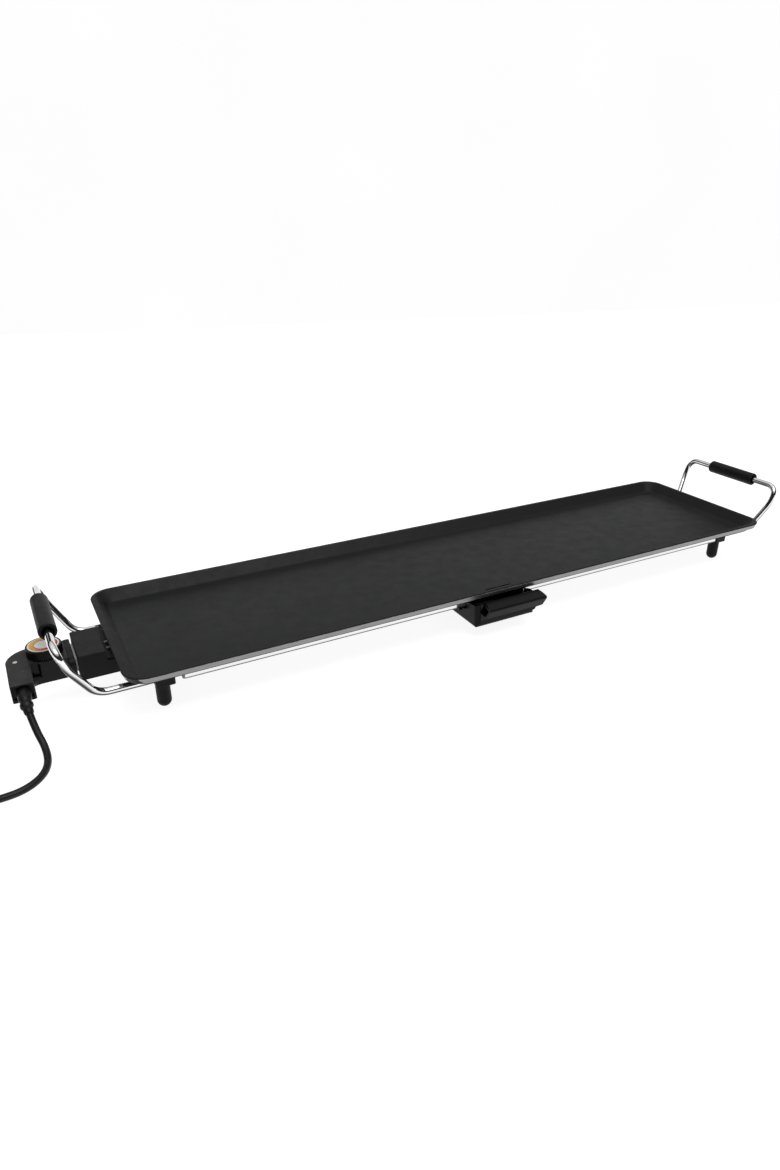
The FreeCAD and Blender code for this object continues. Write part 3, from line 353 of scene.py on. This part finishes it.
def make_materials():
    return {
        "coated_plate": plate_material(),
        "bright_sheet": sheet_material(),
        # The chrome wire's darker underside is painted shade.
        "chrome_wire": metal("chrome_wire", (0.82, 0.82, 0.83), 0.035, 0.075, (50.0, 50.0, 50.0), 0.02, 0.05),
        # The paler tops here are painted light from overhead; on the gloss moulding the paler top is partly the
        # housing's real matte grey top and partly painted light.
        "black_moulding": moulded("black_moulding", 0.0028, 0.0050, 0.42, 0.56, 1500.0, 0.30, 0.14,
                                  lit_top=(0.0065, 0.0110)),
        "gloss_moulding": moulded("gloss_moulding", 0.0030, 0.0055, 0.14, 0.30, 500.0, 0.04, 0.14,
                                  lit_top=(0.032, 0.038)),
        # The tray's downward faces are darkened as painted shade.
        "tray_moulding": moulded("tray_moulding", 0.0035, 0.0060, 0.16, 0.30, 500.0, 0.04, 0.10,
                                 lit_top=(0.0060, 0.0090), shade_below=True),
        "element_steel": metal("element_steel", (0.16, 0.15, 0.15), 0.40, 0.60, (20.0, 300.0, 300.0), 0.10),
        "zinc_steel": metal("zinc_steel", (0.58, 0.60, 0.62), 0.24, 0.38, (200.0, 200.0, 200.0), 0.10),
        "black_steel": moulded("black_steel", 0.006, 0.010, 0.32, 0.50, 700.0, 0.15, 0.25),
        "ceramic": moulded("ceramic", 0.62, 0.72, 0.35, 0.50, 900.0, 0.10, 0.5),
        "sensor_steel": metal("sensor_steel", (0.62, 0.61, 0.60), 0.14, 0.26, (20.0, 400.0, 400.0), 0.06),
        "contact_brass": metal("contact_brass", (0.75, 0.56, 0.24), 0.18, 0.30, (300.0, 60.0, 300.0), 0.06),
        "lamp_lens": moulded("lamp_lens", (0.70, 0.60, 0.50), (0.80, 0.72, 0.62), 0.08, 0.16, 300.0, 0.02,
                             0.6, 0.3),
        "cord_jacket": moulded("cord_jacket", 0.006, 0.011, 0.36, 0.50, 1200.0, 0.20, 0.22),
        "dial_white": dial_material(middle("dial_disc")),
    }


def dress_cad_nodes(look):
    slots = {part["node"]: part["material_slot"] for part in frame["record"]["subparts"]}
    for name, node in frame["nodes"].items():
        node.data.materials.clear()
        node.data.materials.append(look[slots[name]])
    return slots


# --- pieces built over the CAD --------------------------------------------------------------------
def new_piece(name, bm, material, body, slot, *nodes):
    mesh = bpy.data.meshes.new(name)
    bm.to_mesh(mesh)
    bm.free()
    mesh.materials.append(material)
    piece = bpy.data.objects.new(name, mesh)
    bpy.context.scene.collection.objects.link(piece)
    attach(piece, body)
    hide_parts(*nodes)
    return piece


def apply_modifiers(piece):
    depsgraph = bpy.context.evaluated_depsgraph_get()
    mesh = bpy.data.meshes.new_from_object(piece.evaluated_get(depsgraph))
    piece.modifiers.clear()
    old = piece.data
    piece.data = mesh
    bpy.data.meshes.remove(old)


def smooth(piece, angle=35.0):
    for polygon in piece.data.polygons:
        polygon.use_smooth = True
    piece.data.set_sharp_from_angle(angle=math.radians(angle))


# Two faces that meet at less than the first angle become one; an edge sharper than the second is broken.
FLAT_ANGLE = math.radians(0.6)
BROKEN_ANGLE = math.radians(32.0)


def softened(node, name, width, material, slots):
    """The CAD shape with its edges broken, as a moulding has them."""
    bm = bmesh.new()
    bm.from_mesh(frame["nodes"][node].data)
    bmesh.ops.remove_doubles(bm, verts=bm.verts, dist=1e-6)
    bmesh.ops.dissolve_limit(bm, angle_limit=FLAT_ANGLE, verts=bm.verts, edges=bm.edges)
    piece = new_piece(name, bm, material, frame["nodes"][node]["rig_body"], slots[node], node)
    bevel = piece.modifiers.new("edges", "BEVEL")
    bevel.width = width
    bevel.segments = 2
    bevel.limit_method = "ANGLE"
    bevel.angle_limit = BROKEN_ANGLE
    apply_modifiers(piece)
    smooth(piece, 40.0)
    weighted = piece.modifiers.new("flat faces", "WEIGHTED_NORMAL")
    weighted.weight = 100
    weighted.keep_sharp = True
    apply_modifiers(piece)


def join_rings(bm, rings):
    """Faces between rings of equally many points."""
    for low, high in zip(rings, rings[1:]):
        for step in range(len(low)):
            after = (step + 1) % len(low)
            bm.faces.new((low[step], low[after], high[after], high[step]))


def lathe(bm, profile, place, axis_turn, steps):
    """Closed surface of revolution from (radius, height) points about +Z, turned and moved."""
    rings = []
    for radius, height in profile:
        if radius < 1e-7:
            rings.append([bm.verts.new(place + axis_turn @ Vector((0, 0, height)))])
            continue
        ring = []
        for step in range(steps):
            turn = 2 * math.pi * step / steps
            point = Vector((radius * math.cos(turn), radius * math.sin(turn), height))
            ring.append(bm.verts.new(place + axis_turn @ point))
        rings.append(ring)
    for low, high in zip(rings, rings[1:]):
        for step in range(steps):
            after = (step + 1) % steps
            corners = (low[step % len(low)], low[after % len(low)],
                       high[after % len(high)], high[step % len(high)])
            unique = list(dict.fromkeys(corners))
            if len(unique) > 2:
                bm.faces.new(unique)
    bmesh.ops.recalc_face_normals(bm, faces=bm.faces)


KNOB_FLUTES = 60
POINTS_PER_FLUTE = 6
FLUTE_DEPTH = 0.45 * MM
# Height and radius as shares of the knob's own, and how much of the flutes' depth is cut there.
KNOB_LEVELS = (
    (0.0, 0.94, 0.0), (0.03, 1.0, 0.0), (0.10, 1.0, 1.0), (0.80, 1.0, 1.0), (0.87, 0.998, 0.3), (0.93, 0.990, 0.0),
    (0.98, 0.970, 0.0), (1.0, 0.945, 0.0), (1.0, 0.918, 0.0), (0.985, 0.904, 0.0), (0.93, 0.901, 0.0),
)


def make_knob(look):
    """Glossy knob with a finely fluted side and a rounded shoulder round the dial face."""
    low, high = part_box("temperature_knob")
    centre = (low + high) / 2
    radius = (high.x - low.x) / 2
    height = high.z - low.z
    steps = KNOB_FLUTES * POINTS_PER_FLUTE
    bm = bmesh.new()
    rings = []
    for level, share, depth in KNOB_LEVELS:
        ring = []
        for step in range(steps):
            turn = 2 * math.pi * step / steps
            groove = 0.5 - 0.5 * math.cos(turn * KNOB_FLUTES)
            r = radius * share - depth * FLUTE_DEPTH * groove ** 2
            ring.append(bm.verts.new((centre.x + r * math.cos(turn), centre.y + r * math.sin(turn),
                                      low.z + level * height)))
        rings.append(ring)
    join_rings(bm, rings)
    bm.faces.new(rings[-1])
    bm.faces.new(list(reversed(rings[0])))
    piece = new_piece("knob_fluted", bm, look["gloss_moulding"], "temperature_knob_body", "gloss_moulding",
                      "temperature_knob")
    smooth(piece)


def tube_frames(points):
    """Each point of a polyline with the two directions across it."""
    frames = []
    for index, point in enumerate(points):
        before = points[max(index - 1, 0)]
        after = points[min(index + 1, len(points) - 1)]
        heading = (after - before).normalized()
        side = heading.cross(Vector((0, 0, 1))).normalized()
        frames.append((point, side, side.cross(heading)))
    return frames


def skin_tube(bm, points, radii, steps):
    """Closed round tube along the points, with a radius for each."""
    rings = []
    for (point, side, up), radius in zip(tube_frames(points), radii):
        ring = []
        for step in range(steps):
            turn = 2 * math.pi * step / steps
            ring.append(bm.verts.new(point + radius * (math.cos(turn) * side + math.sin(turn) * up)))
        rings.append(ring)
    join_rings(bm, rings)
    bm.faces.new(list(reversed(rings[0])))
    bm.faces.new(rings[-1])
    bmesh.ops.recalc_face_normals(bm, faces=bm.faces)


# --- cord -----------------------------------------------------------------------------------------
CORD_DIAMETER = 0.007
BOOT_START = (-0.5373, -0.0500, 0.0470)
CORD_ROUTE = [(-0.5362, -0.0735, 0.0355), (-0.5340, -0.0845, 0.0225), (-0.5293, -0.0970, 0.0098),
              (-0.5293, -0.1145, 0.0036), (-0.5368, -0.1330, 0.0036), (-0.5526, -0.1454, 0.0036),
              (-0.5724, -0.1481, 0.0036), (-0.5920, -0.1460, 0.0036), (-0.6110, -0.1466, 0.0044)]
COIL_CENTRE = (-0.6340, -0.1010, 0.0045)
COIL_START_RADIUS = 0.0455
COIL_PITCH = 0.0072
LAYER_RISE = 0.0071
POINTS_PER_TURN = 14
LAYER_TURNS = (2.0, 2.0, 1.25)
LAYER_CLIMB = 0.12  # of a turn, in which the cord climbs to the next layer
# How far the cord's end bows out past the coil, runs straight before the plug, sags there and goes into it.
TAIL_BOW = 0.016
TAIL_LEAD = 0.008
TAIL_SAG = 0.0002
TAIL_DEPTH = 0.002


def coil_points():
    """Control points of a flat spiral in, a second layer out and a third one in, wound clockwise."""
    points = []
    centre = Vector(COIL_CENTRE)
    step = 1.0 / POINTS_PER_TURN
    turns = 0.5 * step
    total = sum(LAYER_TURNS)
    while turns < total:
        layer = 0
        done = turns
        while done >= LAYER_TURNS[layer]:
            done -= LAYER_TURNS[layer]
            layer += 1
        shrink = done if layer % 2 == 0 else LAYER_TURNS[layer] - done
        radius = (COIL_START_RADIUS - COIL_PITCH * shrink) / math.cos(math.pi * step)
        climbed = min(done / LAYER_CLIMB, 1.0)
        height = (layer - 1 + climbed) * LAYER_RISE if layer else 0.0
        angle = -math.pi / 2 - 2 * math.pi * turns
        points.append(centre + Vector((radius * math.cos(angle), radius * math.sin(angle), height)))
        turns += step
    return [at_plate(*point) for point in points]


def make_cord(look):
    """One round cord along the route and the coil, whose end goes into the plug's strain relief."""
    plug_low, plug_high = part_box("plug_strain_relief")
    plug_x = (plug_low.x + plug_high.x) / 2
    plug_z = (plug_low.z + plug_high.z) / 2
    turns = coil_points()
    tail = [Vector((turns[-1].x * 0.5 + plug_x * 0.5, turns[-1].y + TAIL_BOW, turns[-1].z)),
            Vector((plug_x, plug_low.y - TAIL_LEAD, plug_z - TAIL_SAG)),
            Vector((plug_x, plug_low.y + TAIL_DEPTH, plug_z))]
    points = [at_plate(*point) for point in CORD_ROUTE] + turns + tail
    curve = bpy.data.curves.new("mains_cord", "CURVE")
    curve.dimensions = "3D"
    curve.bevel_depth = CORD_DIAMETER / 2
    curve.bevel_resolution = 6
    curve.resolution_u = 12
    curve.use_fill_caps = True
    spline = curve.splines.new("NURBS")
    spline.points.add(len(points) - 1)
    for place, point in zip(spline.points, points):
        place.co = (*point, 1.0)
    spline.order_u = 3
    spline.use_endpoint_u = True
    curve.materials.append(look["cord_jacket"])
    cord = bpy.data.objects.new("mains_cord", curve)
    bpy.context.scene.collection.objects.link(cord)
    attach(cord, "control_probe")
    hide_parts("cord_tube", "cord_coil", "cord_tail")
    return cord


# Radius of the strain relief at each share of its length: a stout root, a groove, a collar and a short neck.
BOOT_SHAPE = [(0.0, 0.0066), (0.06, 0.0066), (0.30, 0.0065), (0.46, 0.0062), (0.50, 0.0056), (0.54, 0.0053),
              (0.60, 0.0053), (0.63, 0.0060), (0.66, 0.0062), (0.76, 0.0062), (0.79, 0.0059), (0.82, 0.0050),
              (0.86, 0.0047), (0.96, 0.0045), (1.0, 0.0041)]
BOOT_PULL_OUT = 0.0105
BOOT_PULL_IN = 0.0115
BOOT_RINGS = 90
BOOT_SIDES = 40


def bezier(points, share):
    """Point at a share of the curve that runs from the first point to the last, pulled by those between."""
    while len(points) > 1:
        points = [a.lerp(b, share) for a, b in zip(points, points[1:])]
    return points[0]


def boot_radius(share):
    for (low, first), (high, second) in zip(BOOT_SHAPE, BOOT_SHAPE[1:]):
        if share <= high:
            return first + (second - first) * (share - low) / (high - low)
    return BOOT_SHAPE[-1][1]


def make_boot(look):
    """Strain relief that droops from the recess in the end of the control's leg."""
    start = at_plate(*BOOT_START)
    finish = at_plate(*CORD_ROUTE[0])
    onward = (at_plate(*CORD_ROUTE[1]) - finish).normalized()
    pull = [start, start + Vector((0.0, -BOOT_PULL_OUT, 0.0)), finish - onward * BOOT_PULL_IN, finish]
    shares = [ring / BOOT_RINGS for ring in range(BOOT_RINGS + 1)]
    bm = bmesh.new()
    skin_tube(bm, [bezier(pull, share) for share in shares], [boot_radius(share) for share in shares], BOOT_SIDES)
    piece = new_piece("strain_relief_moulding", bm, look["cord_jacket"], "control_probe", "cord_jacket",
                      "strain_relief")
    smooth(piece, 50.0)
    return piece


PLUG_RIDGES = 5
BOOT_RIBS = 5
CLIP_GROOVE = (0.0066, 0.034, 0.006)


def plug_profile():
    """Radius and height, as shares of the plug's own: waisted grip, finger ridges, round body and flat face."""
    profile = [(0.0, 0.0), (0.46, 0.0), (0.51, 0.012), (0.53, 0.04)]
    for ridge in range(PLUG_RIDGES):
        start = 0.07 + ridge * 0.095
        grow = 0.53 + ridge * 0.082
        profile += [(grow, start), (grow + 0.055, start + 0.018), (grow + 0.060, start + 0.050),
                    (grow + 0.03, start + 0.072)]
    return profile + [(0.93, 0.56), (0.985, 0.60), (0.996, 0.64), (0.996, 0.93), (0.98, 0.975), (0.94, 1.0),
                      (0.86, 1.0), (0.85, 0.985), (0.0, 0.985)]


def plug_boot_profile(length):
    """Radius and height in metres: a ribbed sleeve that widens to the plug."""
    profile = [(0.0, 0.0), (0.0040, 0.0), (0.0043, 0.0004)]
    for rib in range(BOOT_RIBS):
        start = length * (0.08 + 0.16 * rib)
        grow = 0.0044 + 0.00038 * rib
        profile += [(grow, start), (grow, start + length * 0.085), (grow - 0.0007, start + length * 0.10),
                    (grow - 0.0007, start + length * 0.145)]
    return profile + [(0.0064, length * 0.90), (0.0065, length), (0.0, length)]


def cut_clip_grooves(plug, centre, face_y, radius):
    """Cut the two grooves for the earth clips, above and below, into the front of the plug."""
    groove_mesh = bpy.data.meshes.new("groove")
    groove_bm = bmesh.new()
    bmesh.ops.create_cube(groove_bm, size=1.0)
    for vertex in groove_bm.verts:
        vertex.co = [side * size for side, size in zip(vertex.co, CLIP_GROOVE)]
    groove_bm.to_mesh(groove_mesh)
    groove_bm.free()
    cutters = []
    for side in (-1, 1):
        cutter = bpy.data.objects.new("groove", groove_mesh)
        cutter.location = (centre.x, face_y, centre.z + side * radius)
        bpy.context.scene.collection.objects.link(cutter)
        cut = plug.modifiers.new("groove", "BOOLEAN")
        cut.object = cutter
        cut.operation = "DIFFERENCE"
        cut.solver = "EXACT"
        cutters.append(cutter)
    bpy.context.view_layer.update()
    apply_modifiers(plug)
    for cutter in cutters:
        bpy.data.objects.remove(cutter)


def make_plug(look):
    """Round earthed plug and its ribbed strain relief."""
    low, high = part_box("plug_body")
    centre = (low + high) / 2
    radius = (high.x - low.x) / 2
    length = high.y - low.y
    along_y = Vector((0, 0, 1)).rotation_difference(Vector((0, 1, 0))).to_matrix()
    bm = bmesh.new()
    lathe(bm, [(share * radius, height * length) for share, height in plug_profile()],
          Vector((centre.x, low.y, centre.z)), along_y, 72)
    plug = new_piece("plug_moulding", bm, look["black_moulding"], "control_probe", "black_moulding",
                     "plug_body")
    cut_clip_grooves(plug, centre, high.y, radius)
    smooth(plug, 38.0)
    low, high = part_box("plug_strain_relief")
    bm = bmesh.new()
    lathe(bm, plug_boot_profile(high.y - low.y), Vector(((low.x + high.x) / 2, low.y, (low.z + high.z) / 2)),
          along_y, 40)
    relief = new_piece("plug_boot", bm, look["cord_jacket"], "control_probe", "cord_jacket",
                       "plug_strain_relief")
    smooth(relief, 38.0)
    return plug, relief


# --- studio ---------------------------------------------------------------------------------------
def flat_sheet(name, corners, material):
    bm = bmesh.new()
    bm.faces.new([bm.verts.new(corner) for corner in corners])
    mesh = bpy.data.meshes.new(name)
    bm.to_mesh(mesh)
    bm.free()
    mesh.materials.append(material)
    sheet = bpy.data.objects.new(name, mesh)
    bpy.context.scene.collection.objects.link(sheet)


FLOOR_HALF = 12.0
BACKDROP = ((-1.6, 3.2, 0.0), (6.5, 1.7, 0.0), (6.5, 1.7, 1.45), (-1.6, 3.2, 1.45))
WORLD_STRENGTH = 0.95
WORLD_STOPS = ((0.0, 0.03), (0.46, 0.02), (0.62, 0.60), (1.0, 1.0))
KEY_PLACE = (0.0, -0.9, 1.8)
KEY_TARGET = (0.0, 0.0, 0.0)
KEY_SIZE = (1.4, 0.8)
KEY_POWER = 18.0


def make_world():
    """Bright overhead, dark round the horizon, so that polished wire shows dark and light lines."""
    world = bpy.data.worlds.new("studio")
    world.use_nodes = True
    tree = world.node_tree
    background = tree.nodes["Background"]
    coords = tree.nodes.new("ShaderNodeTexCoord")
    place = tree.nodes.new("ShaderNodeSeparateXYZ")
    ramp = tree.nodes.new("ShaderNodeValToRGB")
    tree.links.new(coords.outputs["Generated"], place.inputs[0])
    tree.links.new(place.outputs[2], ramp.inputs[0])
    tree.links.new(ramp.outputs[0], background.inputs[0])
    fill_ramp(ramp.color_ramp, WORLD_STOPS)
    background.inputs[1].default_value = WORLD_STRENGTH
    bpy.context.scene.world = world


def make_key_light():
    data = bpy.data.lights.new("key", "AREA")
    data.shape = "RECTANGLE"
    data.size, data.size_y = KEY_SIZE
    data.energy = KEY_POWER
    light = bpy.data.objects.new("key", data)
    light.location = KEY_PLACE
    light.rotation_euler = (Vector(KEY_TARGET) - Vector(KEY_PLACE)).to_track_quat("-Z", "Y").to_euler()
    bpy.context.scene.collection.objects.link(light)


def make_studio():
    """A pale floor that shines faintly, and a white wall behind the view of the camera."""
    floor = Nodes("pale_floor")
    floor.link(floor.ramp(floor.noise(3.0, 3.0, 0.5), (0.3, 0.34), (0.7, 0.36)), floor.shader.inputs["Base Color"])
    floor.set(Roughness=0.9, Specular_IOR_Level=0.1, Emission_Color=(1.0, 1.0, 1.0, 1.0), Emission_Strength=0.90)
    half = FLOOR_HALF
    flat_sheet("floor", ((-half, -half, 0), (half, -half, 0), (half, half, 0), (-half, half, 0)), floor.material)
    wall = Nodes("white_backdrop")
    wall.link(wall.ramp(wall.noise(1.0, 2.0, 0.5), (0.3, 0.98), (0.7, 1.0)), wall.shader.inputs["Emission Color"])
    wall.set(Emission_Strength=1.0, Base_Color=(0.0, 0.0, 0.0, 1.0), Specular_IOR_Level=0.0)
    flat_sheet("backdrop", BACKDROP, wall.material)
    make_world()
    make_key_light()
    bpy.context.scene.view_settings.view_transform = "Standard"


# Mouldings and castings built from the CAD shape, with the width of their broken edges.
SOFT_EDGES = {
    "drip_tray": 0.0007, "socket_guard": 0.0008, "probe_housing_upper": 0.0010, "probe_housing_lower": 0.0007,
    "nose_flange": 0.0008, "foot_front_left": 0.0008, "foot_front_right": 0.0008, "foot_rear_left": 0.0008,
    "foot_rear_right": 0.0008,
}


def main():
    make_camera()
    look = make_materials()
    slots = dress_cad_nodes(look)
    cord = make_cord(look)
    boot = make_boot(look)
    plug, plug_boot = make_plug(look)
    make_knob(look)
    for node, width in SOFT_EDGES.items():
        material = look["tray_moulding"] if node == "drip_tray" else look[slots[node]]
        softened(node, node + "_moulding", width, material, slots)
    make_studio()


main()
